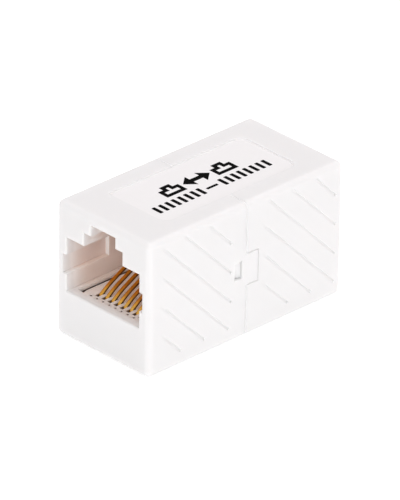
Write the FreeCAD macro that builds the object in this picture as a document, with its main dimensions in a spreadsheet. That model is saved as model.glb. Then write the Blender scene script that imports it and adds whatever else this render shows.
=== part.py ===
import FreeCAD, Part
import math
import os
import Sketcher
from FreeCAD import Placement, Rotation, Vector

# An inline coupler for eight-way modular plugs: two moulded half shells that
# snap together at the middle, and between them a board that carries a comb of
# eight contact wires for each port.
#
# Millimetres. X is the width, Y the length, Z up. The origin is at the middle
# of the underside. The front port faces -Y. The rear port is the same port
# turned half a turn about Z, so every piece of a port is drawn once, for the
# front, with the joint between the halves at Y = 0.

# Driving dimensions

sizes = [
    # Outside of the two halves together
    ("body_width", 15.4),
    ("body_length", 30.64),
    ("body_height", 17.23),
    ("corner_round", 0.75),
    ("joint_bevel", 0.1),

    # Walls of a half shell
    ("front_wall", 1.25),
    ("bottom_wall", 1.2),
    ("side_wall", 1.4),
    ("port_wall", 1.7),
    ("roof_wall", 1.23),
    ("floor_shelf", 0.5),

    # Port profile, as seen from the front
    ("floor_level", 6.0),
    ("step_width", 6.4),
    ("step_height", 1.7),
    ("keyway_width", 4.0),
    ("keyway_height", 1.4),
    ("mouth_bevel", 0.12),
    ("latch_web", 1.9),
    ("wall_groove_depth", 0.6),
    ("wall_groove_height", 2.5),
    ("wall_groove_length", 6.7),
    ("core_gap", 1.1),
    ("core_wall", 1.2),

    # Board and what it rests on
    ("board_rib", 1.0),
    ("board_rib_gap", 0.25),
    ("board_thickness", 1.2),
    ("board_end_gap", 0.25),
    ("board_side_gap", 0.15),
    ("tail_hole", 0.75),

    # Contact carrier: a deck in the port's floor, and the stop behind the plug
    ("window_ledge", 0.55),
    ("window_gap", 0.15),
    ("carrier_gap", 0.1),
    ("foot_gap", 0.7),
    ("deck_drop", 0.55),
    ("deck_relief_width", 0.35),
    ("deck_relief_length", 1.2),
    ("notch_width", 0.3),
    ("notch_length", 0.9),
    ("notch_depth", 0.5),
    ("stop_joint_gap", 1.72),
    ("stop_thickness", 1.6),
    ("channel_roof_gap", 0.2),
    ("channel_end_gap", 0.46),
    ("guide_bottom", 0.5),
    ("guide_headroom", 0.45),
    ("guide_end_gap", 0.3),
    ("peg_diameter", 1.0),
    ("peg_gap", 0.05),
    ("peg_board_edge", 1.85),
    ("peg_tail_gap", 3.1),
    ("peg_reach", 0.3),

    # Contact wires
    ("contact_pitch", 1.016),
    ("contact_width", 0.46),
    ("contact_thickness", 0.3),
    ("contact_side_gap", 0.05),
    ("run_gap", 0.1),
    ("tail_stop_gap", 0.96),
    ("tail_row_gap", 2.54),
    ("tail_reach", 0.65),
    ("tail_bend", 0.4),
    ("nose_rise", 0.05),
    ("nose_gap", 0.4),
    ("arm_gap", 0.17),
    ("rise_angle", 37),
    ("knee_depth", 4.35),
    ("knee_rise", 0.21),
    ("knee_spread", 0.8),
    ("tip_headroom", 2.22),
    ("tip_inset", 0.9),
    ("solder_radius", 0.5),
    ("solder_tip_radius", 0.36),
    ("solder_height", 0.45),

    # Snap tab of the front half, and tongue of the rear half
    ("tab_bottom", 6.7),
    ("tab_height", 3.95),
    ("tab_reach", 1.8),
    ("tab_thickness", 0.75),
    ("tab_root", 1.0),
    ("tab_gap", 0.1),
    ("tongue_reach", 2.6),
    ("tongue_margin", 0.3),
    ("tongue_gap", 0.05),
    ("catch_window_bottom", 7.75),
    ("catch_window_height", 2.3),
    ("catch_window_near", 0.65),
    ("catch_window_length", 1.25),
    ("catch_gap", 0.1),
    ("catch_height", 0.6),
    ("catch_tip_height", 0.1),

    # Label and its recess
    ("label_width", 9.5),
    ("label_front", 10.05),
    ("label_rear", 10.95),
    ("label_round", 1.4),
    ("label_key_round", 0.25),
    ("label_thickness", 0.12),
    ("label_gap", 0.12),
    ("recess_depth", 0.32),
    ("pick_diameter", 0.5),
    ("pick_inset", 0.7),

    # Grip grooves
    ("grip_width", 0.3),
    ("grip_depth", 0.14),
    ("grip_pitch", 3.75),
    ("grip_bottom", 1.95),
    ("grip_top_margin", 0.93),
    ("front_grip_joint_gap", 2.4),
    ("front_grip_face_gap", 2.4),
    ("front_grip_shift", 0.45),
    ("rear_grip_joint_gap", 3.1),
    ("rear_grip_face_gap", 1.2),
    ("rear_grip_shift", -0.4),
]

contact_count = 8
solder_sides = 8

doc = FreeCAD.newDocument("InlineCoupler")
sheet = doc.addObject("Spreadsheet::Sheet", "Size")
for row, (alias, size) in enumerate(sizes, start=1):
    sheet.set(f"A{row}", alias)
    sheet.set(f"B{row}", str(size))
    sheet.setAlias(f"B{row}", alias)
doc.recompute()

# Places that follow from the driving dimensions

half_width = "(Size.body_width / 2)"
half_length = "(Size.body_length / 2)"
half_cavity = f"({half_width} - Size.port_wall)"
half_step = "(Size.step_width / 2)"
half_keyway = "(Size.keyway_width / 2)"
half_window = f"({half_cavity} - Size.window_ledge)"
half_chamber = f"({half_width} - Size.side_wall)"
keyway_top = "(Size.body_height - Size.roof_wall)"
step_top = f"({keyway_top} - Size.keyway_height)"
cavity_top = f"({step_top} - Size.step_height)"
cavity_middle = f"((Size.floor_level + {cavity_top}) / 2)"
shelf_underside = "(Size.floor_level - Size.floor_shelf)"

board_bottom = "(Size.bottom_wall + Size.board_rib)"
board_top = f"({board_bottom} + Size.board_thickness)"
board_half_width = f"({half_chamber} - Size.board_side_gap)"
board_half_length = f"({half_length} - Size.front_wall - Size.board_end_gap)"

deck_top = "(Size.floor_level - Size.deck_drop)"
deck_half_width = f"({half_window} - Size.window_gap)"
deck_front = f"({half_length} - Size.front_wall - Size.carrier_gap)"
foot_top = f"({shelf_underside} - Size.foot_gap)"
stop_front = "(Size.stop_joint_gap + Size.stop_thickness)"
stop_foot = "(Size.floor_level + Size.carrier_gap)"

# The side view of a contact wire, with the free end's slope set by its two ends
run_level = f"({board_top} + Size.run_gap + Size.contact_thickness / 2)"
tail_end = f"({board_bottom} - Size.tail_reach)"
rise = "(Size.rise_angle * 1 deg)"
knee = f"(-{half_length} + Size.knee_depth)"
knee_level = "(Size.floor_level + Size.knee_rise)"
tip = f"(-{stop_front} + Size.tip_inset)"
tip_level = f"({cavity_top} - Size.tip_headroom)"
spring = f"atan(({tip_level} - {knee_level}) / ({tip} - {knee}))"
knee_bend = f"(Size.knee_spread / abs(tan(({rise} - {spring}) / 2)))"
nose_corner = f"({knee} - ({knee_level} - {run_level}) / tan({rise}))"
nose_bend = f"(({deck_top} + Size.nose_rise - {run_level}) / (1 + cos({rise})))"
nose_front = f"({nose_corner} + {nose_bend} / tan({rise} / 2) - {nose_bend})"

# The slot that a wire comes up through, and the channel that its run lies in
half_slot = "(Size.contact_width / 2 + Size.contact_side_gap)"
slot_front = f"({nose_front} - Size.contact_thickness / 2 - Size.nose_gap)"
arm_surface = f"({knee} - ({knee_level} - {deck_top}) / tan({rise}))"
slot_rear = f"({arm_surface} + Size.contact_thickness / 2 / sin({rise}) + Size.arm_gap)"
channel_roof = f"({run_level} + Size.contact_thickness / 2 + Size.channel_roof_gap)"

tongue_outside = f"({half_width} - Size.tab_thickness - Size.tongue_gap)"
catch_window_top = "(Size.catch_window_bottom + Size.catch_window_height)"
grip_top = "(Size.body_height - Size.grip_top_margin)"


def number(expression):
    """The value that an expression has with the present sizes."""
    return float(sheet.evalExpression(str(expression)))


# Helpers for bodies, sketches and features

def new_body(name):
    body = doc.addObject("PartDesign::Body", name)
    body.Label = name
    return body


def new_sketch(body, plane_role, offset="0"):
    """A sketch on one of the body's own planes, moved along the plane's normal."""
    sketch = body.newObject("Sketcher::SketchObject", "Outline")
    plane = [f for f in body.Origin.OriginFeatures if f.Role == plane_role][0]
    sketch.AttachmentSupport = [(plane, "")]
    sketch.MapMode = "FlatFace"
    sketch.setExpression("AttachmentOffset.Base.z", offset)
    return sketch


def hold(sketch, geometry, point, across, up):
    """Fix one point of a sketch at a place given by two expressions."""
    for kind, expression in (("DistanceX", across), ("DistanceY", up)):
        rule = Sketcher.Constraint(kind, -1, 1, geometry, point, number(expression))
        index = sketch.addConstraint(rule)
        sketch.setExpression(f"Constraints[{index}]", expression)


def add_circle(sketch, across, up, radius):
    centre = Vector(number(across), number(up), 0)
    circle = sketch.addGeometry(Part.Circle(centre, Vector(0, 0, 1), number(radius)))
    hold(sketch, circle, 3, across, up)
    index = sketch.addConstraint(Sketcher.Constraint("Radius", circle, number(radius)))
    sketch.setExpression(f"Constraints[{index}]", radius)


def corner_arc(before, corner, after, radius):
    """Start, middle and end of the arc that rounds a corner between two runs."""
    back = (before - corner).normalize()
    ahead = (after - corner).normalize()
    half_angle = back.getAngle(ahead) / 2
    reach = radius / math.tan(half_angle)
    bisector = (back + ahead).normalize()
    centre = corner + bisector * (radius / math.sin(half_angle))
    return corner + back * reach, centre - bisector * radius, corner + ahead * reach


def trace(sketch, corners, closed=True):
    """Straight runs through corners, each given as (across, up) or (across, up, radius).

    A corner with a radius is rounded by an arc that is tangent to both runs.
    """
    places = [Vector(number(corner[0]), number(corner[1]), 0) for corner in corners]
    count = len(corners)
    starts = []
    ends = []
    arcs = {}
    for i, corner in enumerate(corners):
        inside = closed or 0 < i < count - 1
        if len(corner) == 3 and inside:
            first, middle, last = corner_arc(
                places[i - 1], places[i], places[(i + 1) % count], number(corner[2]))
            arcs[i] = Part.Arc(first, middle, last)
            ends.append(first)
            starts.append(last)
        else:
            ends.append(places[i])
            starts.append(places[i])
    run_count = count if closed else count - 1
    runs = []
    for i in range(run_count):
        line = Part.LineSegment(starts[i], ends[(i + 1) % count])
        runs.append(sketch.addGeometry(line))
    for i, corner in enumerate(corners):
        before = runs[i - 1] if closed or i > 0 else None
        after = runs[i] if i < run_count else None
        if i in arcs:
            arc = sketch.addGeometry(arcs[i])
            turn = (places[i] - places[i - 1]).cross(places[(i + 1) % count] - places[i]).z
            near, far = (1, 2) if turn > 0 else (2, 1)
            sketch.addConstraint(Sketcher.Constraint("Tangent", before, 2, arc, near))
            sketch.addConstraint(Sketcher.Constraint("Tangent", arc, far, after, 1))
            rule = Sketcher.Constraint("Radius", arc, number(corner[2]))
            index = sketch.addConstraint(rule)
            sketch.setExpression(f"Constraints[{index}]", str(corner[2]))
            mark = sketch.addGeometry(Part.Point(places[i]), True)
            hold(sketch, mark, 1, corner[0], corner[1])
            sketch.addConstraint(Sketcher.Constraint("PointOnObject", mark, 1, before))
            sketch.addConstraint(Sketcher.Constraint("PointOnObject", mark, 1, after))
        elif before is None:
            hold(sketch, after, 1, corner[0], corner[1])
        elif after is None:
            hold(sketch, before, 2, corner[0], corner[1])
        else:
            sketch.addConstraint(Sketcher.Constraint("Coincident", before, 2, after, 1))
            hold(sketch, after, 1, corner[0], corner[1])


def box_outline(sketch, left, right, bottom, top):
    trace(sketch, [(left, bottom), (right, bottom), (right, top), (left, top)])


def pad(body, sketch, length, reverse=False):
    """Add material along the sketch's normal, or against it."""
    feature = body.newObject("PartDesign::Pad", "Pad")
    feature.Profile = sketch
    feature.Reversed = reverse
    feature.setExpression("Length", length)
    doc.recompute()
    return feature


def pocket(body, sketch, length, reverse=False):
    """Cut against the sketch's normal, or along it, and make sure that it cuts."""
    volume_before = body.Shape.Volume
    feature = body.newObject("PartDesign::Pocket", "Pocket")
    feature.Profile = sketch
    feature.Reversed = reverse
    feature.setExpression("Length", length)
    doc.recompute()
    if body.Shape.Volume >= volume_before:
        raise RuntimeError(f"a pocket in {body.Label} cuts nothing")
    return feature


def mirror_sideways(body, features):
    """Repeat features on the other side of the middle plane of the width."""
    plane = [f for f in body.Origin.OriginFeatures if f.Role == "YZ_Plane"][0]
    feature = body.newObject("PartDesign::Mirrored", "Mirror")
    feature.Originals = features
    feature.MirrorPlane = (plane, [""])
    body.Tip = feature
    doc.recompute()
    return feature


def repeat_across(body, feature_to_repeat, spacing, count):
    """Repeat a feature along the width, one spacing apart."""
    axis = [f for f in body.Origin.OriginFeatures if f.Role == "X_Axis"][0]
    feature = body.newObject("PartDesign::LinearPattern", "Row")
    feature.Originals = [feature_to_repeat]
    feature.Direction = (axis, [""])
    feature.Occurrences = count
    feature.setExpression("Length", f"{spacing} * {count - 1}")
    body.Tip = feature
    doc.recompute()
    return feature


def contact_place(index):
    """X of a contact wire, counted from the left as one looks into the port."""
    return f"({index - (contact_count - 1) / 2} * Size.contact_pitch)"


def tail_place(index):
    """Y of a wire's tail: the tails stand in two staggered rows in front of the stop."""
    rows_ahead = 1 - index % 2
    return f"(-{stop_front} - Size.tail_stop_gap - {rows_ahead} * Size.tail_row_gap)"


def peg_places():
    """X and Y of a carrier's two pegs and of their holes in the board."""
    across = f"({board_half_width} - Size.peg_board_edge)"
    along = f"({tail_place(0)} - Size.peg_tail_gap)"
    return [(f"-{across}", along), (across, along)]


# Half shells

def shell_blank(body):
    """A block with rounded outer edges and a fine bevel round the joint."""
    sketch = new_sketch(body, "XZ_Plane")
    box_outline(sketch, f"-{half_width}", half_width, "0", "Size.body_height")
    block = pad(body, sketch, half_length)

    outer_edges = []
    for index, edge in enumerate(block.Shape.Edges, start=1):
        if edge.BoundBox.YMin < -1e-6:
            outer_edges.append(f"Edge{index}")
    rounding = body.newObject("PartDesign::Fillet", "OuterRound")
    rounding.Base = (block, outer_edges)
    rounding.setExpression("Radius", "Size.corner_round")
    doc.recompute()

    joint_edges = []
    for index, edge in enumerate(rounding.Shape.Edges, start=1):
        if edge.BoundBox.YMin > -1e-6:
            joint_edges.append(f"Edge{index}")
    bevel = body.newObject("PartDesign::Chamfer", "JointBevel")
    bevel.Base = (rounding, joint_edges)
    bevel.setExpression("Size", "Size.joint_bevel")
    doc.recompute()


def cut_port(body):
    """The stepped opening for a plug, and the web that the plug's latch hooks behind."""
    sketch = new_sketch(body, "XZ_Plane")
    trace(sketch, [
        (f"-{half_cavity}", "Size.floor_level"),
        (half_cavity, "Size.floor_level"),
        (half_cavity, cavity_top),
        (half_step, cavity_top),
        (half_step, step_top),
        (half_keyway, step_top),
        (half_keyway, keyway_top),
        (f"-{half_keyway}", keyway_top),
        (f"-{half_keyway}", step_top),
        (f"-{half_step}", step_top),
        (f"-{half_step}", cavity_top),
        (f"-{half_cavity}", cavity_top),
    ])
    opening = pocket(body, sketch, half_length, reverse=True)

    face = -number(half_length)
    side = number(half_cavity)
    mouth = FreeCAD.BoundBox(-side, face, number("Size.floor_level"), side, face, number(keyway_top))
    mouth.enlarge(1e-6)
    mouth_edges = []
    for index, edge in enumerate(opening.Shape.Edges, start=1):
        if mouth.isInside(edge.BoundBox):
            mouth_edges.append(f"Edge{index}")
    bevel = body.newObject("PartDesign::Chamfer", "MouthBevel")
    bevel.Base = (opening, mouth_edges)
    bevel.setExpression("Size", "Size.mouth_bevel")
    doc.recompute()

    behind_web = new_sketch(body, "XZ_Plane")
    box_outline(behind_web, f"-{half_step}", half_step, cavity_top, keyway_top)
    pocket(body, behind_web, f"{half_length} - Size.latch_web", reverse=True)

    groove_reach = f"({half_cavity} + Size.wall_groove_depth)"
    wall_grooves = new_sketch(body, "XZ_Plane", half_length)
    box_outline(wall_grooves, f"-{groove_reach}", groove_reach,
                f"{cavity_middle} - Size.wall_groove_height / 2",
                f"{cavity_middle} + Size.wall_groove_height / 2")
    pocket(body, wall_grooves, "Size.wall_groove_length")


def cut_chamber(body):
    """The space under the port floor, with two ribs for the board and the deck's window."""
    solder_edge = f"{contact_place(contact_count - 1)} + Size.solder_radius"
    peg_edge = f"{peg_places()[1][0]} + Size.peg_diameter / 2"
    rib_inside = f"(max({solder_edge}; {peg_edge}) + Size.board_rib_gap)"
    sketch = new_sketch(body, "XZ_Plane")
    trace(sketch, [
        (f"-{rib_inside}", "Size.bottom_wall"),
        (rib_inside, "Size.bottom_wall"),
        (rib_inside, board_bottom),
        (half_chamber, board_bottom),
        (half_chamber, shelf_underside),
        (half_window, shelf_underside),
        (half_window, cavity_middle),
        (f"-{half_window}", cavity_middle),
        (f"-{half_window}", shelf_underside),
        (f"-{half_chamber}", shelf_underside),
        (f"-{half_chamber}", board_bottom),
        (f"-{rib_inside}", board_bottom),
    ])
    pocket(body, sketch, f"{half_length} - Size.front_wall", reverse=True)


def cut_moulding_cores(body):
    """Hollows beside the keyway that keep the moulded walls even."""
    sketch = new_sketch(body, "XZ_Plane")
    box_outline(sketch, f"{half_step} + Size.core_gap", half_chamber,
                f"{cavity_top} + Size.core_wall", keyway_top)
    core = pocket(body, sketch, f"{half_length} - Size.front_wall", reverse=True)
    mirror_sideways(body, [core])


def cut_label_recess(body, length, left_round, pick_side):
    sketch = new_sketch(body, "XY_Plane", "Size.body_height")
    half_label = "(Size.label_width / 2)"
    past_joint = "Size.tab_root"
    trace(sketch, [
        (f"-{half_label}", f"-{length}", left_round),
        (half_label, f"-{length}", "Size.label_round"),
        (half_label, past_joint),
        (f"-{half_label}", past_joint),
    ])
    pocket(body, sketch, "Size.recess_depth")
    if pick_side:
        pick = new_sketch(body, "XY_Plane", "Size.body_height")
        add_circle(pick, f"{pick_side} * ({half_label} - Size.pick_inset)",
                   f"-{length} + Size.pick_inset", "Size.pick_diameter / 2")
        pocket(body, pick, "Size.recess_depth + Size.label_thickness")


def cut_grip_grooves(body, near_face, near_joint, shift, lean):
    """Slanted grooves, each clipped to the same rectangle of the side.

    Distance runs along the length from the left end of the side as seen in
    front of it, so lean is 1 where that is the body's own Y, and -1 where the
    body is turned round.
    """
    if lean > 0:
        left, right = f"(-{half_length} + {near_face})", f"(-{near_joint})"
    else:
        left, right = f"({near_joint})", f"({half_length} - {near_face})"
    half_groove = "(Size.grip_width / 2 * sqrt(0.5))"
    corner_line = f"({left} + {grip_top} - {shift})"
    sketch = new_sketch(body, "YZ_Plane", half_width)
    groove_range = math.ceil(number("Size.body_height") / number("Size.grip_pitch")) + 1
    for step in range(-groove_range, groove_range):
        line = f"({corner_line} + {step} * Size.grip_pitch)"
        first = f"max({left}; {line} - {grip_top})"
        last = f"min({right}; {line} - Size.grip_bottom)"
        if number(f"{last} - {first}") < number("Size.grip_width") * 2:
            continue
        trace(sketch, [
            (f"{lean} * ({first} + {half_groove})", f"{line} - {first} + {half_groove}"),
            (f"{lean} * ({first} - {half_groove})", f"{line} - {first} - {half_groove}"),
            (f"{lean} * ({last} - {half_groove})", f"{line} - {last} - {half_groove}"),
            (f"{lean} * ({last} + {half_groove})", f"{line} - {last} + {half_groove}"),
        ])
    grooves = pocket(body, sketch, "Size.grip_depth")
    mirror_sideways(body, [grooves])


def add_tabs(body):
    """Outer skins that cross the joint, with room for the tongues and their catches."""
    tab_top = "(Size.tab_bottom + Size.tab_height)"
    skin_inside = f"({half_width} - Size.tab_thickness)"
    outline = new_sketch(body, "XZ_Plane", "Size.tab_root")
    box_outline(outline, skin_inside, half_width, "Size.tab_bottom", tab_top)
    tab = pad(body, outline, "Size.tab_root + Size.tab_reach", reverse=True)

    tongue_room = new_sketch(body, "XZ_Plane")
    box_outline(tongue_room, f"{half_cavity} - Size.tongue_gap", skin_inside,
                "Size.tab_bottom + Size.tongue_margin - Size.tab_gap",
                f"{tab_top} - Size.tongue_margin + Size.tab_gap")
    room = pocket(body, tongue_room, "Size.tongue_reach + Size.tab_gap", reverse=True)

    window = new_sketch(body, "YZ_Plane", half_width)
    box_outline(window, "-Size.catch_window_near - Size.catch_window_length",
                "-Size.catch_window_near", "Size.catch_window_bottom", catch_window_top)
    opening = pocket(body, window, "Size.tab_thickness + Size.tongue_gap")
    mirror_sideways(body, [tab, room, opening])


def add_tongues(body):
    """Inner tongues, each with a ramped catch that snaps into the other half's window."""
    recess = new_sketch(body, "XZ_Plane")
    box_outline(recess, f"{half_width} - Size.tab_thickness - Size.tongue_gap",
                f"{half_width} + Size.tab_thickness",
                "Size.tab_bottom - Size.tab_gap",
                "Size.tab_bottom + Size.tab_height + Size.tab_gap")
    tab_room = pocket(body, recess, "Size.tab_reach + Size.tab_gap", reverse=True)

    tongue_outline = new_sketch(body, "XZ_Plane", "Size.tab_root")
    box_outline(tongue_outline, half_cavity, tongue_outside,
                "Size.tab_bottom + Size.tongue_margin",
                "Size.tab_bottom + Size.tab_height - Size.tongue_margin")
    tongue = pad(body, tongue_outline, "Size.tab_root + Size.tongue_reach", reverse=True)

    catch = new_sketch(body, "XY_Plane", "Size.catch_window_bottom + Size.catch_gap")
    catch_back = "(Size.catch_window_near + Size.catch_gap)"
    catch_tip = "(Size.catch_window_near + Size.catch_window_length - Size.catch_gap)"
    trace(catch, [
        (f"{tongue_outside} - Size.tongue_gap", catch_back),
        (f"{tongue_outside} + Size.catch_height", catch_back),
        (f"{tongue_outside} + Size.catch_tip_height", catch_tip),
        (f"{tongue_outside} - Size.tongue_gap", catch_tip),
    ])
    ramp = pad(body, catch, "Size.catch_window_height - 2 * Size.catch_gap")
    mirror_sideways(body, [tab_room, tongue, ramp])


def make_front_shell():
    body = new_body("front_shell")
    shell_blank(body)
    cut_port(body)
    cut_chamber(body)
    cut_moulding_cores(body)
    cut_label_recess(body, "Size.label_front", "Size.label_key_round", 0)
    add_tabs(body)
    cut_grip_grooves(body, "Size.front_grip_face_gap", "Size.front_grip_joint_gap",
                     "Size.front_grip_shift", 1)
    return body


def make_rear_shell():
    body = new_body("rear_shell")
    shell_blank(body)
    cut_port(body)
    cut_chamber(body)
    cut_moulding_cores(body)
    cut_label_recess(body, "Size.label_rear", "Size.label_round", -1)
    add_tongues(body)
    cut_grip_grooves(body, "Size.rear_grip_face_gap", "Size.rear_grip_joint_gap",
                     "Size.rear_grip_shift", -1)
    return body


# Label

def make_label():
    body = new_body("label")
    left = "(-Size.label_width / 2 + Size.label_gap)"
    right = "(Size.label_width / 2 - Size.label_gap)"
    front = "(-Size.label_front + Size.label_gap)"
    rear = "(Size.label_rear - Size.label_gap)"
    rounding = "Size.label_round"
    sketch = new_sketch(body, "XY_Plane", "Size.body_height - Size.recess_depth")
    trace(sketch, [
        (left, front, "Size.label_key_round"),
        (right, front, rounding),
        (right, rear, rounding),
        (left, rear, rounding),
    ])
    pad(body, sketch, "Size.label_thickness")
    return body


# Board

def make_board():
    """The board, with holes for the wires' tails and the carriers' pegs."""
    body = new_body("circuit_board")
    sketch = new_sketch(body, "XY_Plane", board_bottom)
    box_outline(sketch, f"-{board_half_width}", board_half_width,
                f"-{board_half_length}", board_half_length)
    pad(body, sketch, "Size.board_thickness")

    holes = new_sketch(body, "XY_Plane", board_top)
    for index in range(contact_count):
        add_circle(holes, contact_place(index), tail_place(index), "Size.tail_hole / 2")
    for across, along in peg_places():
        add_circle(holes, across, along, "Size.peg_diameter / 2 + Size.peg_gap")
    drilled = pocket(body, holes, "Size.board_thickness")

    axis = [f for f in body.Origin.OriginFeatures if f.Role == "Z_Axis"][0]
    both_ports = body.newObject("PartDesign::PolarPattern", "BothPorts")
    both_ports.Originals = [drilled]
    both_ports.Axis = (axis, [""])
    both_ports.Angle = 360
    both_ports.Occurrences = 2
    body.Tip = both_ports
    doc.recompute()
    return body


# Contact carriers

def make_carrier(name):
    """A deck that fills the window in the port floor, and the stop behind the plug."""
    body = new_body(name)
    deck = new_sketch(body, "XZ_Plane", "Size.stop_joint_gap")
    trace(deck, [
        (f"-{board_half_width}", board_top),
        (board_half_width, board_top),
        (board_half_width, foot_top),
        (deck_half_width, foot_top),
        (deck_half_width, deck_top),
        (f"-{deck_half_width}", deck_top),
        (f"-{deck_half_width}", foot_top),
        (f"-{board_half_width}", foot_top),
    ])
    pad(body, deck, f"{deck_front} - Size.stop_joint_gap")

    stop_half_width = f"({half_cavity} - Size.carrier_gap)"
    stop_shoulder = f"({cavity_top} - Size.carrier_gap)"
    crown_half_width = f"({half_step} - Size.carrier_gap)"
    crown_top = f"({keyway_top} - Size.carrier_gap)"
    stop = new_sketch(body, "XZ_Plane", "Size.stop_joint_gap")
    trace(stop, [
        (f"-{deck_half_width}", foot_top),
        (deck_half_width, foot_top),
        (deck_half_width, stop_foot),
        (stop_half_width, stop_foot),
        (stop_half_width, stop_shoulder),
        (crown_half_width, stop_shoulder),
        (crown_half_width, crown_top),
        (f"-{crown_half_width}", crown_top),
        (f"-{crown_half_width}", stop_shoulder),
        (f"-{stop_half_width}", stop_shoulder),
        (f"-{stop_half_width}", stop_foot),
        (f"-{deck_half_width}", stop_foot),
    ])
    pad(body, stop, "Size.stop_thickness")

    cut_wire_slots(body)
    cut_guide_slots(body)
    cut_deck_front(body)
    add_pegs(body)
    return body


def cut_wire_slots(body):
    """Eight slots in the deck, each over a channel that is open to the board below."""
    slot = new_sketch(body, "YZ_Plane", f"({contact_place(0)} - {half_slot})")
    channel_end = f"({tail_place(1)} + Size.contact_thickness / 2 + Size.channel_end_gap)"
    above = f"({deck_top} + Size.carrier_gap)"
    trace(slot, [
        (slot_front, above),
        (slot_front, board_top),
        (channel_end, board_top),
        (channel_end, channel_roof),
        (slot_rear, channel_roof),
        (slot_rear, above),
    ])
    slots = pocket(body, slot, f"2 * {half_slot}", reverse=True)
    repeat_across(body, slots, "Size.contact_pitch", contact_count)


def cut_guide_slots(body):
    """Upright slots in the stop that keep the wires' free ends in line."""
    guide = new_sketch(body, "XZ_Plane", stop_front)
    middle = contact_place(0)
    box_outline(guide, f"{middle} - {half_slot}", f"{middle} + {half_slot}",
                f"{stop_foot} + Size.guide_bottom", f"{tip_level} + Size.guide_headroom")
    guides = pocket(body, guide, "Size.tip_inset + Size.guide_end_gap")
    repeat_across(body, guides, "Size.contact_pitch", contact_count)


def cut_deck_front(body):
    """Slanted front corners, and small notches on both sides of each wire's slot."""
    corners = new_sketch(body, "XY_Plane", deck_top)
    for side in (-1, 1):
        corner = f"{side} * {deck_half_width}"
        trace(corners, [
            (corner, f"-{deck_front}"),
            (corner, f"-{deck_front} + Size.deck_relief_length"),
            (f"{side} * ({deck_half_width} - Size.deck_relief_width)", f"-{deck_front}"),
        ])
    pocket(body, corners, f"{deck_top} - {foot_top}")

    notches = new_sketch(body, "XY_Plane", deck_top)
    for index in range(contact_count + 1):
        middle = f"({contact_place(index)} - Size.contact_pitch / 2)"
        box_outline(notches, f"{middle} - Size.notch_width / 2", f"{middle} + Size.notch_width / 2",
                    f"-{deck_front}", f"-{deck_front} + Size.notch_length")
    pocket(body, notches, "Size.notch_depth")


def add_pegs(body):
    """Two pegs that place the carrier on the board."""
    sketch = new_sketch(body, "XY_Plane", board_top)
    for across, along in peg_places():
        add_circle(sketch, across, along, "Size.peg_diameter / 2")
    pad(body, sketch, "Size.board_thickness + Size.peg_reach", reverse=True)


# Contact wires

def make_contact(name, index):
    """One bent wire: tail, run along the board, nose, knee and springy arm."""
    body = new_body(name)
    tail = tail_place(index)
    path = new_sketch(body, "YZ_Plane")
    trace(path, [
        (tail, tail_end),
        (tail, run_level, "Size.tail_bend"),
        (nose_corner, run_level, nose_bend),
        (knee, knee_level, knee_bend),
        (tip, tip_level),
    ], closed=False)

    section = new_sketch(body, "XY_Plane", tail_end)
    box_outline(section, "-Size.contact_width / 2", "Size.contact_width / 2",
                f"{tail} - Size.contact_thickness / 2", f"{tail} + Size.contact_thickness / 2")
    doc.recompute()

    wire = body.newObject("PartDesign::AdditivePipe", "Wire")
    wire.Profile = section
    wire.Spine = (path, [f"Edge{n}" for n in range(1, len(path.Shape.Edges) + 1)])
    wire.Mode = "Frenet"
    doc.recompute()
    return body


def make_solder(name):
    """Eight solder cones under the board, each round the tail that it holds."""
    joints = []
    for index in range(contact_count):
        across = contact_place(index)
        along = tail_place(index)
        rings = []
        for radius, level in (("Size.solder_tip_radius", f"{board_bottom} - Size.solder_height"),
                              ("Size.solder_radius", board_bottom)):
            ring = doc.addObject("Part::RegularPolygon", "Ring")
            ring.Polygon = solder_sides
            ring.setExpression("Circumradius", radius)
            place(ring, across, along, level)
            rings.append(ring)
        cone = doc.addObject("Part::Loft", "Cone")
        cone.Sections = rings
        cone.Solid = True
        cone.Ruled = True
        tail = doc.addObject("Part::Box", "Tail")
        tail.setExpression("Length", "Size.contact_width")
        tail.setExpression("Width", "Size.contact_thickness")
        tail.setExpression("Height", "Size.tail_reach + Size.board_thickness")
        place(tail, f"{across} - Size.contact_width / 2",
              f"{along} - Size.contact_thickness / 2", tail_end)
        joint = doc.addObject("Part::Cut", "Joint")
        joint.Base = cone
        joint.Tool = tail
        joints.append(joint)
    group = doc.addObject("Part::Compound", name)
    group.Label = name
    group.Links = joints
    doc.recompute()
    return group


def place(thing, across, along, level):
    for axis, expression in (("x", across), ("y", along), ("z", level)):
        thing.setExpression(f"Placement.Base.{axis}", expression)


# Assembly

def turn_to_rear(piece):
    piece.Placement = Placement(Vector(0, 0, 0), Rotation(Vector(0, 0, 1), 180))


pieces = [make_front_shell(), make_rear_shell(), make_label(), make_board()]
turn_to_rear(pieces[1])

for port in ("front", "rear"):
    port_pieces = [make_carrier(f"{port}_contact_carrier")]
    for index in range(contact_count):
        port_pieces.append(make_contact(f"{port}_contact_{index + 1}", index))
    port_pieces.append(make_solder(f"{port}_solder_joints"))
    for piece in port_pieces:
        if port == "rear":
            turn_to_rear(piece)
    for index in range(contact_count):
        side = 1 if port == "front" else -1
        port_pieces[index + 1].setExpression("Placement.Base.x", f"{side} * {contact_place(index)}")
    pieces.extend(port_pieces)

doc.recompute()

for thing in doc.Objects:
    if "Invalid" in thing.State or "Error" in thing.State:
        raise RuntimeError(f"{thing.Label} ({thing.Name}) did not build: {thing.State}")

for piece in pieces:
    if piece.Shape.isNull() or not piece.Shape.isValid():
        raise RuntimeError(f"{piece.Label} has no valid shape")

os.makedirs("parts", exist_ok=True)
for piece in pieces:
    piece.Shape.exportStep(f"parts/{piece.Label}.step")
    print(f"{piece.Label}: {len(piece.Shape.Solids)} solid(s), {piece.Shape.Volume:.2f} mm3")
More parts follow.
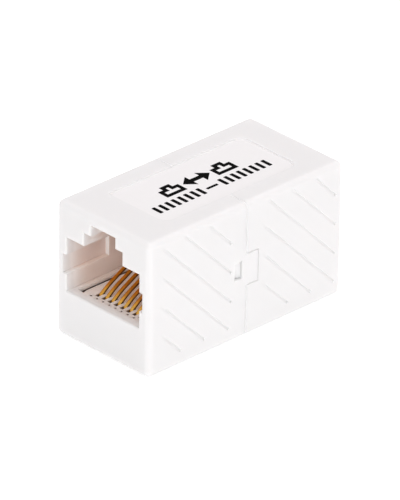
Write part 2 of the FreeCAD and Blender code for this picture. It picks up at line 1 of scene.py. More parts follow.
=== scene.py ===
# %% [markdown]
# An inline coupler joins two network leads end to end. It is a small white
# block with a port at each end: two moulded half shells, snapped together at
# the middle, with a label across the joint. The packed solids already have the
# true shape and size, so this scene gives them their finishes, adds what is too
# thin for the solids, and photographs the result under soft studio light.

import math

import bmesh
import bpy
from mathutils import Matrix, Vector


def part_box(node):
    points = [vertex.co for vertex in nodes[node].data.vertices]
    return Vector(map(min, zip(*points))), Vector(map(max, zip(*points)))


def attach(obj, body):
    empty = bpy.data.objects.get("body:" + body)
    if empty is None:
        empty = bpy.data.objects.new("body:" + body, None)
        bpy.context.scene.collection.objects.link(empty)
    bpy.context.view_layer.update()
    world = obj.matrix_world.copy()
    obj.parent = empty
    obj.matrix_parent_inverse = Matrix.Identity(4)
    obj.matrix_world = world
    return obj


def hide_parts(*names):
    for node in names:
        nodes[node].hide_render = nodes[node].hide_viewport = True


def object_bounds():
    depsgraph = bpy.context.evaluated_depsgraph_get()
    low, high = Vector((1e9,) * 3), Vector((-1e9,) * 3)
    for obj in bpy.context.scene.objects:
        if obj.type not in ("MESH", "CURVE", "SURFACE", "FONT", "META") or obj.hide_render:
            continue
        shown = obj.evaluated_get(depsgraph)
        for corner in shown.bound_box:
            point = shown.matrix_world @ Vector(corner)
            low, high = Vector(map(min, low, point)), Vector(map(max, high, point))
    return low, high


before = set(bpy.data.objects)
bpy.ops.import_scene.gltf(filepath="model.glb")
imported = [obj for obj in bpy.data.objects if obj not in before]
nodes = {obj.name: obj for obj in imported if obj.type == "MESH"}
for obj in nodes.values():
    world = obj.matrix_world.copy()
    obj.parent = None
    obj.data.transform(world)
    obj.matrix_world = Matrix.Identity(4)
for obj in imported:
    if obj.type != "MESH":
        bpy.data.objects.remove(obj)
cad_low, cad_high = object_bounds()
MM = 0.001
print("pieces in the frame:", len(nodes))
print("size in mm:", [round(v / MM, 2) for v in cad_high - cad_low])

# %% [markdown]
# A finish is a small network of shader nodes. Drawn by hand it is a web of
# boxes and wires, but most of it is plain arithmetic, and arithmetic is easier
# to read as Python. The class below wraps one output socket, so that an
# expression such as 0.4 + 0.1 * noise adds the Math nodes that it needs. Any
# other node comes from one method, which sets the node's options first and then
# fills or links its sockets.

# %% A finish, and arithmetic on its sockets


class Signal:
    """One output socket of a finish, with Python's arithmetic on it."""

    def __init__(self, finish, socket):
        self.finish = finish
        self.socket = socket

    def __add__(self, other):
        return self.finish.maths("ADD", self, other)

    __radd__ = __add__

    def __sub__(self, other):
        return self.finish.maths("SUBTRACT", self, other)

    def __rsub__(self, other):
        return self.finish.maths("SUBTRACT", other, self)

    def __mul__(self, other):
        return self.finish.maths("MULTIPLY", self, other)

    __rmul__ = __mul__

    def __abs__(self):
        return self.finish.maths("ABSOLUTE", self)


class Finish:
    """A material whose node tree is built by method calls."""

    def __init__(self, name):
        self.material = bpy.data.materials.new(name)
        self.material.use_nodes = True
        self.tree = self.material.node_tree
        self.shader = self.tree.nodes["Principled BSDF"]
        self.place = self.node("ShaderNodeTexCoord", {}, {}, "Object")

    def fill(self, target, value):
        """Link a signal to a socket, or set the socket's own value."""
        if isinstance(value, Signal):
            self.tree.links.new(value.socket, target)
        else:
            target.default_value = value

    def node(self, kind, options, sockets, output=0):
        made = self.tree.nodes.new(kind)
        for option, value in options.items():
            setattr(made, option, value)
        for name, value in sockets.items():
            self.fill(made.inputs[name], value)
        return Signal(self, made.outputs[output])

    def maths(self, operation, first, second=0):
        """Arithmetic on one number or two."""
        return self.node("ShaderNodeMath", {"operation": operation}, {0: first, 1: second})

    def noise(self, scale, detail=2.0, place=None):
        """Soft random blotches, from 0 to 1, with about scale of them in a metre."""
        sockets = {"Vector": place or self.place, "Scale": scale, "Detail": detail}
        return self.node("ShaderNodeTexNoise", {}, sockets, "Fac")

    def axis(self, name, vector):
        return self.node("ShaderNodeSeparateXYZ", {}, {"Vector": vector}, name)

    def vector(self, operation, *vectors):
        """Arithmetic on three numbers at once."""
        return self.node("ShaderNodeVectorMath", {"operation": operation}, dict(enumerate(vectors)))

    def length(self, vector):
        return self.node("ShaderNodeVectorMath", {"operation": "LENGTH"}, {0: vector}, "Value")

    def ramp(self, value, start, end):
        """0 up to start, 1 from end on, and a smooth rise between them."""
        sockets = {"Value": value, "From Min": start, "From Max": end}
        return self.node("ShaderNodeMapRange", {"interpolation_type": "SMOOTHSTEP"}, sockets)

    def blend(self, factor, first, second):
        """A colour between two colours."""
        sockets = {"Factor": factor, 6: first, 7: second}
        return self.node("ShaderNodeMix", {"data_type": "RGBA"}, sockets, 2)

    def bump(self, height, distance, strength=1.0):
        sockets = {"Height": height, "Distance": distance, "Strength": strength}
        return self.node("ShaderNodeBump", {}, sockets)

    def surface(self, **sockets):
        """Fill the shader's own sockets, named with underscores for spaces."""
        for name, value in sockets.items():
            self.fill(self.shader.inputs[name.replace("_", " ")], value)
        return self.material


print("ways to build a finish:", [name for name in vars(Finish) if not name.startswith("_")])

# %% [markdown]
# The shells are injection moulded in a white plastic. The mould's faces were
# spark eroded, which leaves a very fine even grain, so the surface is satin and
# not glossy. A real moulding is never one flat white either: there are faint
# cloudy changes where the melt flowed. Both come from noise on the object's own
# coordinates, one with a scale of tenths of a millimetre and one of several
# millimetres.
#
# Light also enters such plastic and comes out again a little further on, which
# is what Subsurface does. It softens the grooves and the seam, which would be
# hard dark lines on paint. It can't follow the light through the whole wall, so
# more light is painted on as paler colours and a glow, and for this the finish
# has to know where on the moulding it is. The masks could be painted as a
# texture, but a mask that is worked out from the place fits every groove by
# itself. The main measure is how deep a point lies below the smooth rounded
# block that the body would be without its grooves, gaps and ports. Each
# function after that makes one mask.

# %% Where on the moulding a point lies
EDGE_ROUND = 0.75 * MM
DECK_TOP = 5.45 * MM

# Each pair says where a mask starts to rise and where it is whole.
WALL_DEPTHS = (0.75 * MM, 1.1 * MM)
MOUTH_DEPTHS = (0.1 * MM, 0.6 * MM)
NEAR_MOUTH = (4 * MM, 2 * MM)
DARK_DEPTHS = (0.9 * MM, 1.15 * MM)
UNDER_DECK = (DECK_TOP - 0.02 * MM, DECK_TOP - 0.15 * MM)
BELOW_LABEL = (15 * MM, 14 * MM)
FRONT_HALF = (-0.3 * MM, -0.5 * MM)
GAP_DEPTHS = (0.12 * MM, 0.25 * MM)
JOINT_DEPTHS = (0.01 * MM, 0.06 * MM)
BESIDE_JOINT = (0.2 * MM, 0.08 * MM)
PAST_MOUTH = (0.9 * MM, 1.5 * MM)
FACING_STRAIGHT = (0.8, 0.97)
SIDE_GROOVE_LENGTH = (8.5 * MM, 7 * MM)


def below_skin(finish):
    """How deep a point lies under the smooth rounded block round the object, in metres."""
    middle = (cad_low + cad_high) / 2
    core = (cad_high - cad_low) / 2 - Vector((EDGE_ROUND, EDGE_ROUND, EDGE_ROUND))
    centred = finish.vector("SUBTRACT", finish.place, middle)
    past_core = finish.vector("SUBTRACT", finish.vector("ABSOLUTE", centred), core)
    around = finish.vector("MAXIMUM", past_core, (0, 0, 0))
    across, along, up = (finish.axis(name, past_core) for name in "XYZ")
    deepest = finish.maths("MAXIMUM", across, finish.maths("MAXIMUM", along, up))
    return EDGE_ROUND - finish.length(around) - finish.maths("MINIMUM", deepest)


def behind_mouth(finish):
    """How far a place lies behind the mouth of its port, the same for both ports."""
    return cad_high.y - abs(finish.axis("Y", finish.place))


def port_walls(finish, below):
    """1 on the walls of a port from its mouth inwards, and 0 on the outer faces."""
    near_mouth = finish.ramp(below, *MOUTH_DEPTHS) * finish.ramp(behind_mouth(finish), *NEAR_MOUTH)
    return finish.maths("MAXIMUM", finish.ramp(below, *WALL_DEPTHS), near_mouth)


def under_deck(finish, below):
    """1 under the deck in a port's floor, where shade is painted, and 0 in the port and outside."""
    return finish.ramp(finish.axis("Z", finish.place), *UNDER_DECK) * finish.ramp(below, *DARK_DEPTHS)


def snap_window(finish):
    """1 where the windows of the snaps are, low in the half that carries the tabs."""
    low = finish.ramp(finish.axis("Z", finish.place), *BELOW_LABEL)
    return low * finish.ramp(finish.axis("Y", finish.place), *FRONT_HALF)


def narrow_gap(finish, below):
    """1 in the gaps of the outer faces: round the label, at the snaps and at the joint."""
    beside_joint = finish.ramp(abs(finish.axis("Y", finish.place)), *BESIDE_JOINT)
    joint = finish.ramp(below, *JOINT_DEPTHS) * beside_joint
    gap = finish.maths("MAXIMUM", finish.ramp(below, *GAP_DEPTHS), joint)
    return gap * finish.ramp(behind_mouth(finish), *PAST_MOUTH)


def side_groove_end(finish):
    """1 on the ends of a port's side grooves, which face out of the mouth, where light is painted."""
    facing = finish.node("ShaderNodeTexCoord", {}, {}, "Normal")
    outward = finish.ramp(abs(finish.axis("Y", facing)), *FACING_STRAIGHT)
    return outward * finish.ramp(behind_mouth(finish), *SIDE_GROOVE_LENGTH)


print("block round the object, mm:", [round(v / MM, 2) for v in cad_high - cad_low],
      "with edges rounded by", round(EDGE_ROUND / MM, 2))

# %% [markdown]
# With the masks at hand the finish is a row of blends, and most of them paint
# light and shade on. A groove is painted a little paler than the faces, and a
# narrow gap is painted paler still with a faint painted glow, so that neither
# reads as dark. Inside the ports the plastic is painted warmer, for light that
# bounces between the walls, and it has a painted glow where light would come
# through the floor and side walls or in through the mouth: more low down, and
# most on what faces up or out. The narrow ends of the side grooves, which face
# straight out of the mouth, are painted paler too. Under the deck in the port's
# floor a dark brown is painted as shade.

# %% White moulded shells
GRAIN_PER_METRE = 5200
CLOUDS_PER_METRE = 160
LIGHT_REACH = 0.7 * MM
GROOVE_DEPTHS = (0.01 * MM, 0.08 * MM)
INSIDE_PORT = (-0.3 * MM, 3.6 * MM)
LOW_IN_PORT = (11 * MM, 6.5 * MM)
FACING_UP = (0.5, 0.9)
WINDOW_DIMMING = 0.9
# Painted light in the shells: paler colours for grooves, gaps and groove ends, and glows
GROOVE_PAINTED_PALE = (0.855, 0.85, 0.852, 1)
GAP_PAINTED_PALE = (0.975, 0.97, 0.97, 1)
GROOVE_END_PAINTED_PALE = (0.96, 0.955, 0.955, 1)
SHADE_BROWN = (0.3, 0.22, 0.17, 1)
NO_GLOW = (0, 0, 0, 1)
GAP_GLOW = (0.1, 0.097, 0.098, 1)
WALL_GLOW = (0.1, 0.077, 0.064, 1)
MOUTH_GLOW = (0.1, 0.096, 0.096, 1)


def painted_wall_light(finish):
    """How much painted light a wall glows with: more low in the port, most where it faces up or out."""
    facing = finish.node("ShaderNodeTexCoord", {}, {}, "Normal")
    low = finish.ramp(finish.axis("Z", finish.place), *LOW_IN_PORT)
    upward = finish.ramp(finish.axis("Z", facing), *FACING_UP)
    return 0.5 * low + 0.75 * upward + side_groove_end(finish)


def white_plastic(name, light, shade, painted_port_tone, roughness, scatter):
    """The moulded white: its paler and darker cloudy tones outside, a painted warm tone and glow in the
    ports, painted light in its grooves and gaps, and painted shade under the deck.
    """
    finish = Finish(name)
    grain = finish.noise(GRAIN_PER_METRE, 3.0)
    clouds = finish.noise(CLOUDS_PER_METRE, 2.0)
    below = below_skin(finish)
    walls = port_walls(finish, below)
    inside = walls * finish.ramp(behind_mouth(finish), *INSIDE_PORT)
    dark = under_deck(finish, below)
    gap = narrow_gap(finish, below)
    outside = finish.blend(clouds, (*shade, 1), (*light, 1))
    # Painted light: grooves and narrow gaps are painted paler than the faces.
    groove_painted_pale = finish.blend(finish.ramp(below, *GROOVE_DEPTHS), outside, GROOVE_PAINTED_PALE)
    gap_painted_pale = finish.blend(gap, groove_painted_pale, GAP_PAINTED_PALE)
    # Painted light: the ports are painted in a warmer tone, and the ends of the side grooves paler.
    painted_port_colour = finish.blend(side_groove_end(finish), (*painted_port_tone, 1), GROOVE_END_PAINTED_PALE)
    lit = finish.blend(inside, gap_painted_pale, painted_port_colour)
    # Painted light: a faint glow in the gaps, dimmed in the snap windows, and a glow on the port walls that
    # stands in for light through the walls and mouth.
    gap_light = finish.blend(gap * (1 - WINDOW_DIMMING * snap_window(finish)), NO_GLOW, GAP_GLOW)
    port_glow = finish.blend(inside, MOUTH_GLOW, WALL_GLOW)
    port_light = finish.blend(painted_wall_light(finish) * (1 - dark), NO_GLOW, port_glow)
    return finish.surface(
        # Painted shade: a dark brown under the deck in the port's floor.
        Base_Color=finish.blend(dark, lit, SHADE_BROWN),
        Roughness=roughness + 0.08 * grain,
        Normal=finish.bump(grain, 0.012 * MM, 0.5),
        IOR=1.5,
        Subsurface_Weight=scatter,
        Subsurface_Radius=(1.0, 0.97, 0.95),
        Subsurface_Scale=LIGHT_REACH,
        Emission_Color=finish.blend(walls, gap_light, port_light),
        Emission_Strength=1.0,
    )


def give_finish(name, material):
    """Put a finish on a packed solid, in place of the plain one that it came with."""
    nodes[name].data.materials.clear()
    nodes[name].data.materials.append(material)


shell_white = white_plastic("shell_white", (0.825, 0.819, 0.822), (0.805, 0.799, 0.802),
                            (0.84, 0.735, 0.685), 0.36, 1.0)
give_finish("front_shell", shell_white)
give_finish("rear_shell", shell_white)
print("finish:", shell_white.name)

# %% [markdown]
# The carriers hold the contact wires. They are a harder plastic than the shells,
# moulded in the same white but a little creamier, and smoother where the comb's
# teeth left a polished part of the mould.

# %% Contact carriers
carrier_white = white_plastic("carrier_white", (0.95, 0.88, 0.845), (0.93, 0.86, 0.825),
                              (0.93, 0.86, 0.825), 0.3, 0.0)
for port in ("front", "rear"):
    give_finish(f"{port}_contact_carrier", carrier_white)
print("finish:", carrier_white.name)

# %% [markdown]
# The contact wires are spring bronze, plated with gold where the plug touches
# them. They are cut from a strip, and their two flanks are dull and painted much
# darker than the plated faces: painted shade for the dark port that they mirror
# and for the shade between neighbouring wires, and that is what sets one wire
# off from the next. The flanks are found by the direction that the surface
# faces. The gold is deeper in colour up the slope, and painted paler low down, a
# painted reflection of the room seen through the port. Drawing the strip leaves
# fine lines along it, which stretch the highlights, so the noise is squeezed:
# many times finer across the wire than along it.

# %% Gold on the contact wires
PAINTED_FLANK_SHADE = (0.11, 0.045, 0.012, 1)
REFLECTION_HEIGHTS = (6.9 * MM, 5.5 * MM)


def gold_plating():
    finish = Finish("contact_gold")
    squeezed = finish.node("ShaderNodeMapping", {}, {"Vector": finish.place, "Scale": (12.0, 1.0, 1.0)})
    lines = finish.noise(1400, 2.0, squeezed)
    tint = finish.noise(500, 1.0)
    facing = finish.node("ShaderNodeTexCoord", {}, {}, "Normal")
    # Painted shade: the flanks get a dark colour for the dark port that they mirror.
    flank = finish.ramp(abs(finish.axis("X", facing)), *FACING_STRAIGHT)
    # Painted reflection: the gold is paler low down, where it mirrors the room through the port.
    painted_reflection = finish.ramp(finish.axis("Z", finish.place), *REFLECTION_HEIGHTS)
    deep_gold = finish.blend(tint, (0.66, 0.23, 0.02, 1), (0.76, 0.31, 0.035, 1))
    pale_gold = finish.blend(tint, (0.84, 0.43, 0.07, 1), (0.9, 0.52, 0.11, 1))
    return finish.surface(
        Base_Color=finish.blend(flank, finish.blend(painted_reflection, deep_gold, pale_gold), PAINTED_FLANK_SHADE),
        Metallic=1.0,
        Roughness=0.16 + 0.1 * lines + 0.3 * flank,
        Normal=finish.bump(lines, 0.004 * MM, 0.4),
    )


contact_gold = gold_plating()
print("finish:", contact_gold.name)

# %% [markdown]
# The solids have the wires with sharp edges, because a plug and a force don't
# notice them. A camera does: it is the rounded edges of a polished wire that
# catch the light as thin bright lines. So each wire is replaced by a copy. The
# copy's loose triangles are merged first, because only faces that share an edge
# can be rounded along it, and then a Bevel takes the sharp edges off.

# %% Contact wires with rounded edges
WIRE_COUNT = 8
WIRE_ROUND = 0.07 * MM
SHARP_FROM = math.radians(55)


def rounded_copy(node, name, material, width):
    """A merged copy of a solid whose sharp edges are rounded, and which stands for it."""
    shape = bmesh.new()
    shape.from_mesh(node.data)
    bmesh.ops.remove_doubles(shape, verts=shape.verts, dist=0.0005 * MM)
    mesh = bpy.data.meshes.new(name)
    shape.to_mesh(mesh)
    shape.free()
    mesh.shade_smooth()
    mesh.set_sharp_from_angle(angle=SHARP_FROM)
    mesh.materials.append(material)
    piece = bpy.data.objects.new(name, mesh)
    bpy.context.scene.collection.objects.link(piece)
    rounding = piece.modifiers.new("rounded_edges", "BEVEL")
    rounding.width = width
    rounding.segments = 2
    rounding.limit_method = "ANGLE"
    rounding.angle_limit = SHARP_FROM
    rounding.harden_normals = True
    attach(piece, "root")
    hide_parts(node.name)
    return piece


for port in ("front", "rear"):
    for number in range(1, WIRE_COUNT + 1):
        wire = rounded_copy(nodes[f"{port}_contact_{number}"], f"{port}_wire_{number}",
                            contact_gold, WIRE_ROUND)
print("corners of a merged wire:", len(wire.data.vertices))

# %% [markdown]
# Behind the ports lie the board and its solder. They are out of sight, but the
# model comes apart on a bench, so they are finished as well: a glass laminate
# under green resist, whose weave just shows, and satin solder with a few dull
# spots.

# %% Board and solder


def green_laminate():
    finish = Finish("board_green")
    weave = finish.node("ShaderNodeTexWave", {"wave_type": "BANDS", "bands_direction": "DIAGONAL"},
                        {"Vector": finish.place, "Scale": 700.0, "Distortion": 0.4}, "Fac")
    blotches = finish.noise(300, 2.0)
    return finish.surface(
        Base_Color=finish.blend(blotches, (0.012, 0.11, 0.045, 1), (0.02, 0.16, 0.07, 1)),
        Roughness=0.28 + 0.1 * weave,
        Normal=finish.bump(weave, 0.006 * MM, 0.4),
        Coat_Weight=0.3,
    )


def satin_solder():
    finish = Finish("solder_satin")
    spots = finish.noise(3500, 3.0)
    return finish.surface(
        Base_Color=finish.blend(spots, (0.62, 0.62, 0.63, 1), (0.74, 0.74, 0.74, 1)),
        Metallic=1.0,
        Roughness=0.25 + 0.25 * spots,
        Normal=finish.bump(spots, 0.01 * MM, 0.5),
    )


board_green = green_laminate()
solder_satin = satin_solder()
give_finish("circuit_board", board_green)
for port in ("front", "rear"):
    give_finish(f"{port}_solder_joints", solder_satin)
print("finishes:", board_green.name, solder_satin.name)

# %% [markdown]
# The label is a thin white film in a shallow recess. It is a touch whiter and
# smoother than the plastic round it, with only a trace of orange peel, and that
# small difference is what makes it read as a separate piece.

# %% Label film


def label_film():
    finish = Finish("label_film")
    peel = finish.noise(900, 2.0)
    return finish.surface(
        Base_Color=finish.blend(peel, (0.855, 0.842, 0.846, 1), (0.875, 0.862, 0.866, 1)),
        Roughness=0.3 + 0.06 * peel,
        Normal=finish.bump(peel, 0.006 * MM, 0.3),
    )


give_finish("label", label_film())
label_low, label_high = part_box("label")
print("label, mm:", [round(v / MM, 2) for v in label_high - label_low])

# %% [markdown]
# The print on the label is made of signs: two sockets with a double arrow
# between them, for a lead that goes straight through, and below them the eight
# contacts of each end. Ink is a layer of its own, about a hundredth of a
# millimetre thick, so it is made as thin plates that lie on the film. Drawn as a
# flat curve, a sign can have a hole, and the curve's own extrusion gives the
# plate.

# %% Black ink
INK_THICKNESS = 0.012 * MM


def black_ink():
    finish = Finish("black_ink")
    speckle = finish.noise(2600, 2.0)
    return finish.surface(
        Base_Color=finish.blend(speckle, (0.001, 0.001, 0.001, 1), (0.003, 0.003, 0.003, 1)),
        Roughness=0.55 + 0.1 * speckle,
        Specular_IOR_Level=0.02,
        Normal=finish.bump(speckle, 0.004 * MM, 0.4),
    )


ink = black_ink()
print("ink, mm thick:", round(INK_THICKNESS / MM, 3))

# %% From an outline to a printed plate


def print_place(along, up):
    """A point of the print, in mm, as a place on the label.

    The print is read from the right side of the coupler: it runs along +Y, and
    its upper edge is towards -X.
    """
    return Vector((-up * MM, along * MM, label_high.z))


def keep_piece(name, mesh, material):
    """A finished mesh becomes a piece of the object and rides on its body."""
    mesh.name = name
    mesh.materials.clear()
    mesh.materials.append(material)
    piece = bpy.data.objects.new(name, mesh)
    bpy.context.scene.collection.objects.link(piece)
    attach(piece, "root")
    return piece


def print_shape(name, outlines):
    """One printed shape from closed outlines; an outline inside another is a hole."""
    curve = bpy.data.curves.new(name, "CURVE")
    curve.dimensions = "2D"
    curve.fill_mode = "BOTH"
    curve.extrude = INK_THICKNESS / 2
    for outline in outlines:
        spline = curve.splines.new("POLY")
        spline.points.add(len(outline) - 1)
        for point, (along, up) in zip(spline.points, outline):
            point.co = (*print_place(along, up).xy, 0, 1)
        spline.use_cyclic_u = True
    drawn = bpy.data.objects.new(name + "_curve", curve)
    bpy.context.scene.collection.objects.link(drawn)
    graph = bpy.context.evaluated_depsgraph_get()
    mesh = bpy.data.meshes.new_from_object(drawn.evaluated_get(graph))
    bpy.data.objects.remove(drawn)
    mesh.transform(Matrix.Translation((0, 0, label_high.z + INK_THICKNESS / 2)))
    return keep_piece(name, mesh, ink)


print("the print lies at a height in mm of", round(label_high.z / MM, 2))

# %% [markdown]
# A socket seen from the front is a box with a stepped notch for the plug's
# latch. Its outline and a smaller one inside it make a bold ring. The inner
# outline is the outer one moved in by the width of the stroke, and because
# every corner is square that is a plain shift in each direction.

# %% Socket signs and the double arrow
UPPER_ROW_MIDDLE = 0.825
SIGN_HEIGHT = 2.35
SIGN_WIDTH = 3.1
SIGN_STROKE = 0.54
SIGN_SPREAD = 4.05
NOTCH_SHARE = 0.24
SHOULDER_SHARE = 0.2
ARROW_LENGTH = 4.2
ARROW_HEAD = 1.35
ARROW_SHAFT = 0.7
HEAD_SLOPE = 0.85
ROW_CENTRE = 0.1


def socket_outline(centre, inset):
    """The stepped outline of a socket, with its strokes moved in by inset."""
    side = SIGN_WIDTH / 2 - inset
    notch = SIGN_WIDTH * NOTCH_SHARE - inset
    bottom = UPPER_ROW_MIDDLE - SIGN_HEIGHT / 2 + inset
    shoulder = UPPER_ROW_MIDDLE + SIGN_HEIGHT * SHOULDER_SHARE - inset
    top = UPPER_ROW_MIDDLE + SIGN_HEIGHT / 2 - inset
    corners = [(side, bottom), (side, shoulder), (notch, shoulder), (notch, top),
               (-notch, top), (-notch, shoulder), (-side, shoulder), (-side, bottom)]
    return [(centre + along, up) for along, up in corners]


def arrow_outline(centre, length, head, shaft):
    """A double-headed arrow along the print."""
    end = length / 2
    neck = end - head
    half_head = head * HEAD_SLOPE
    half_shaft = shaft / 2
    corners = [(end, 0), (neck, half_head), (neck, half_shaft), (-neck, half_shaft), (-neck, half_head),
               (-end, 0), (-neck, -half_head), (-neck, -half_shaft), (neck, -half_shaft), (neck, -half_head)]
    return [(centre + along, UPPER_ROW_MIDDLE + up) for along, up in corners]


for place, name in ((-SIGN_SPREAD, "print_socket_left"), (SIGN_SPREAD, "print_socket_right")):
    middle = ROW_CENTRE + place
    print_shape(name, [socket_outline(middle, 0), socket_outline(middle, SIGN_STROKE)])
print_shape("print_arrow", [arrow_outline(ROW_CENTRE, ARROW_LENGTH, ARROW_HEAD, ARROW_SHAFT)])
print("upper row of the print: 3 shapes")

# %% [markdown]
# The lower row stands for the contacts: two groups of eight short bars. What
# repeats is a job for Geometry Nodes. The tree draws one bar with rounded
# corners, gives it a thickness, and places copies of it on the points of a
# line. The copies are made real at the end, because instances are lost when
# the model is exported.

# %% Helpers for a geometry tree


def add_input(tree, name, kind):
    return tree.interface.new_socket(name=name, in_out="INPUT", socket_type=kind).identifier


def geometry_tree(name, inputs):
    """An empty tree with named inputs: returns the tree, its ends and the inputs' identifiers."""
    tree = bpy.data.node_groups.new(name, "GeometryNodeTree")
    tree.interface.new_socket(name="Geometry", in_out="INPUT", socket_type="NodeSocketGeometry")
    tree.interface.new_socket(name="Geometry", in_out="OUTPUT", socket_type="NodeSocketGeometry")
    identifiers = {label: add_input(tree, label, kind) for label, kind in inputs}
    start = tree.nodes.new("NodeGroupInput")
    end = tree.nodes.new("NodeGroupOutput")
    return tree, start, end, identifiers


def step(tree, kind, links, **options):
    """Add one node, set its options, and link or fill its inputs."""
    made = tree.nodes.new(kind)
    for option, value in options.items():
        setattr(made, option, value)
    for name, source in links.items():
        if isinstance(source, bpy.types.NodeSocket):
            tree.links.new(source, made.inputs[name])
        else:
            made.inputs[name].default_value = source
    return made


def run_tree(name, tree, values):
    """Give a modifier its inputs, and return what it makes as a plain mesh."""
    holder = bpy.data.objects.new(name + "_holder", bpy.data.meshes.new(name + "_seed"))
    bpy.context.scene.collection.objects.link(holder)
    modifier = holder.modifiers.new("make", "NODES")
    modifier.node_group = tree
    for identifier, value in values.items():
        modifier[identifier] = value
    graph = bpy.context.evaluated_depsgraph_get()
    mesh = bpy.data.meshes.new_from_object(holder.evaluated_get(graph))
    holder.modifiers.remove(modifier)
    bpy.data.objects.remove(holder)
    return mesh


# %% The tree of one row of bars


def bar_row_tree():
    inputs = [("Count", "NodeSocketInt"), ("Pitch", "NodeSocketFloat"), ("Width", "NodeSocketFloat"),
              ("Height", "NodeSocketFloat"), ("Rounding", "NodeSocketFloat"),
              ("Thickness", "NodeSocketFloat"), ("Start", "NodeSocketVector"),
              ("Ink", "NodeSocketMaterial")]
    tree, start, end, identifiers = geometry_tree("print_bar_row", inputs)
    given = start.outputs
    corner = step(tree, "GeometryNodeCurvePrimitiveQuadrilateral",
                  {"Width": given["Height"], "Height": given["Width"]})
    rounded = step(tree, "GeometryNodeFilletCurve",
                   {"Curve": corner.outputs[0], "Radius": given["Rounding"], "Count": 4}, mode="POLY")
    face = step(tree, "GeometryNodeFillCurve", {"Curve": rounded.outputs[0]}, mode="NGONS")
    raised = step(tree, "GeometryNodeExtrudeMesh",
                  {"Mesh": face.outputs[0], "Offset Scale": given["Thickness"]})
    under = step(tree, "GeometryNodeFlipFaces", {"Mesh": face.outputs[0]})
    whole = step(tree, "GeometryNodeJoinGeometry", {})
    tree.links.new(raised.outputs["Mesh"], whole.inputs[0])
    tree.links.new(under.outputs[0], whole.inputs[0])
    closed = step(tree, "GeometryNodeMergeByDistance", {"Geometry": whole.outputs[0], "Distance": 1e-7})
    shift = step(tree, "ShaderNodeCombineXYZ", {"Y": given["Pitch"]})
    line = step(tree, "GeometryNodeMeshLine",
                {"Count": given["Count"], "Start Location": given["Start"], "Offset": shift.outputs[0]})
    copies = step(tree, "GeometryNodeInstanceOnPoints",
                  {"Points": line.outputs[0], "Instance": closed.outputs[0]})
    real = step(tree, "GeometryNodeRealizeInstances", {"Geometry": copies.outputs[0]})
    inked = step(tree, "GeometryNodeSetMaterial",
                 {"Geometry": real.outputs[0], "Material": given["Ink"]})
    tree.links.new(inked.outputs[0], end.inputs[0])
    return tree, identifiers


bar_tree, bar_input = bar_row_tree()
print("nodes in the tree of a row:", len(bar_tree.nodes))

# %% The two rows, and the link between them
LOWER_ROW_MIDDLE = -1.8
BAR_COUNT = 8
BAR_PITCH = 0.98
BAR_WIDTH = 0.5
BAR_HEIGHT = 1.6
BAR_ROUND = 0.12
GROUP_SPREAD = 5.15
LINK_HALF_LENGTH = 0.85
LINK_HALF_HEIGHT = 0.2

row_length = (BAR_COUNT - 1) * BAR_PITCH
for side, name in ((-1, "print_contacts_left"), (1, "print_contacts_right")):
    first_bar = print_place(ROW_CENTRE + side * GROUP_SPREAD - row_length / 2, LOWER_ROW_MIDDLE)
    mesh = run_tree(name, bar_tree, {
        bar_input["Count"]: BAR_COUNT,
        bar_input["Pitch"]: BAR_PITCH * MM,
        bar_input["Width"]: BAR_WIDTH * MM,
        bar_input["Height"]: BAR_HEIGHT * MM,
        bar_input["Rounding"]: BAR_ROUND * MM,
        bar_input["Thickness"]: INK_THICKNESS,
        bar_input["Start"]: first_bar,
        bar_input["Ink"]: ink,
    })
    keep_piece(name, mesh, ink)
    print(name, "has", len(mesh.polygons), "faces")

print_shape("print_link", [[
    (ROW_CENTRE - LINK_HALF_LENGTH, LOWER_ROW_MIDDLE - LINK_HALF_HEIGHT),
    (ROW_CENTRE + LINK_HALF_LENGTH, LOWER_ROW_MIDDLE - LINK_HALF_HEIGHT),
    (ROW_CENTRE + LINK_HALF_LENGTH, LOWER_ROW_MIDDLE + LINK_HALF_HEIGHT),
    (ROW_CENTRE - LINK_HALF_LENGTH, LOWER_ROW_MIDDLE + LINK_HALF_HEIGHT),
]])

# %% [markdown]
# The photograph was taken from almost a metre away with a long lens, so
# parallel edges stay nearly parallel. The camera stands at the same angle, and
# the lens is the one that gives the coupler the same size in the frame.

# %% Camera
AZIMUTH = math.radians(45.92)
ELEVATION = math.radians(28.33)
ROLL = math.radians(0.77)
DISTANCE = 958.8 * MM
SIDEWAYS = 0.12 * MM
UPWARDS = 7.16 * MM
FOCAL_PIXELS = 8338.7
FRAME_LONG_SIDE = 500

backwards = Vector((math.sin(AZIMUTH) * math.cos(ELEVATION),
                    -math.cos(AZIMUTH) * math.cos(ELEVATION),
                    math.sin(ELEVATION)))
level_right = Vector((math.cos(AZIMUTH), math.sin(AZIMUTH), 0))
level_up = backwards.cross(level_right)
right = level_right * math.cos(ROLL) + level_up * math.sin(ROLL)
up = level_up * math.cos(ROLL) - level_right * math.sin(ROLL)

lens = bpy.data.cameras.new("camera")
lens.sensor_width = 36.0
lens.lens = lens.sensor_width * FOCAL_PIXELS / FRAME_LONG_SIDE
lens.clip_start = 0.05
lens.clip_end = 20
camera = bpy.data.objects.new("camera", lens)
bpy.context.scene.collection.objects.link(camera)
turn = Matrix((right, up, backwards)).transposed()
eye = backwards * DISTANCE + right * SIDEWAYS + up * UPWARDS
camera.matrix_world = Matrix.Translation(eye) @ turn.to_4x4()
bpy.context.scene.camera = camera
print("lens, mm:", round(lens.lens, 1))

# %% [markdown]
# The light is that of a small white tent on a light table: bright and even from
# all round. A soft lamp on the right makes the long side the brightest face, a
# lower one in front shines into the port, and a third, a little pink, stands
# behind and above. The floor glows weakly, so the coupler's lower edges don't
# go dark, and its colour makes the background white. It still takes the
# coupler's shadow, which is faint in so even a light.

# %% Floor
FLOOR_SIZE = 1.5
FLOOR_GAP = 0.02 * MM
FLOOR_GLOW = 0.25
BACKDROP_GLOW = 0.1


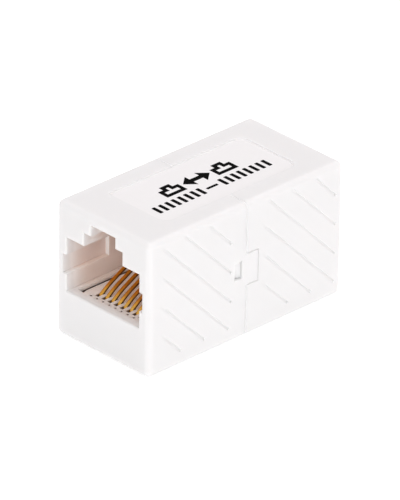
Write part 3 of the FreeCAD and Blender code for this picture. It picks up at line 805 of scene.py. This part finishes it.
def glowing_floor():
    """A matt white that glows weakly, and to the camera a little more than to the coupler."""
    finish = Finish("floor_white")
    grain = finish.noise(40, 2.0)
    shown = finish.node("ShaderNodeLightPath", {}, {}, "Is Camera Ray")
    return finish.surface(
        Base_Color=finish.blend(grain, (0.9, 0.9, 0.9, 1), (0.92, 0.92, 0.92, 1)),
        Roughness=0.9,
        Emission_Color=(1, 1, 1, 1),
        Emission_Strength=FLOOR_GLOW + BACKDROP_GLOW * shown,
    )


corner = FLOOR_SIZE / 2
floor_mesh = bpy.data.meshes.new("floor")
floor_mesh.from_pydata(
    [(-corner, -corner, 0), (corner, -corner, 0), (corner, corner, 0), (-corner, corner, 0)],
    [], [(0, 1, 2, 3)])
floor_mesh.materials.append(glowing_floor())
floor = bpy.data.objects.new("floor", floor_mesh)
bpy.context.scene.collection.objects.link(floor)
floor.location.z = cad_low.z - FLOOR_GAP
print("floor, mm below the coupler:", round(FLOOR_GAP / MM, 3))

# %% Lamps
LAMP_SIZE = 0.45
LAMP_DISTANCE = 0.6


def soft_lamp(name, azimuth, elevation, power, colour=(1, 1, 1)):
    """A square lamp that faces the coupler from a direction given in degrees."""
    lamp = bpy.data.lights.new(name, "AREA")
    lamp.shape = "SQUARE"
    lamp.size = LAMP_SIZE
    lamp.energy = power
    lamp.color = colour
    holder = bpy.data.objects.new(name, lamp)
    bpy.context.scene.collection.objects.link(holder)
    turn_angle = math.radians(azimuth)
    rise = math.radians(elevation)
    direction = Vector((math.sin(turn_angle) * math.cos(rise),
                        -math.cos(turn_angle) * math.cos(rise),
                        math.sin(rise)))
    holder.location = direction * LAMP_DISTANCE
    holder.rotation_mode = "QUATERNION"
    holder.rotation_quaternion = direction.to_track_quat("Z", "Y")
    return holder


soft_lamp("side_lamp", 82, 24, 0.54)
soft_lamp("front_lamp", 28, 16, 0.62)
soft_lamp("top_lamp", 200, 75, 1.25, (1.0, 0.93, 0.95))

# %% World and view
TENT_COLOUR = (1.0, 0.995, 0.99, 1)
TENT_STRENGTH = 0.68
world = bpy.data.worlds.new("white_tent")
bpy.context.scene.world = world
world.use_nodes = True
tent = world.node_tree.nodes["Background"]
tent.inputs["Color"].default_value = TENT_COLOUR
tent.inputs["Strength"].default_value = TENT_STRENGTH
bpy.context.scene.view_settings.view_transform = "Standard"
print("the world's light:", TENT_STRENGTH)

# %% [markdown]
# The two have to agree, because rounding takes a little off an edge and the ink
# stays below the rim of its recess, so that nothing may stand out.
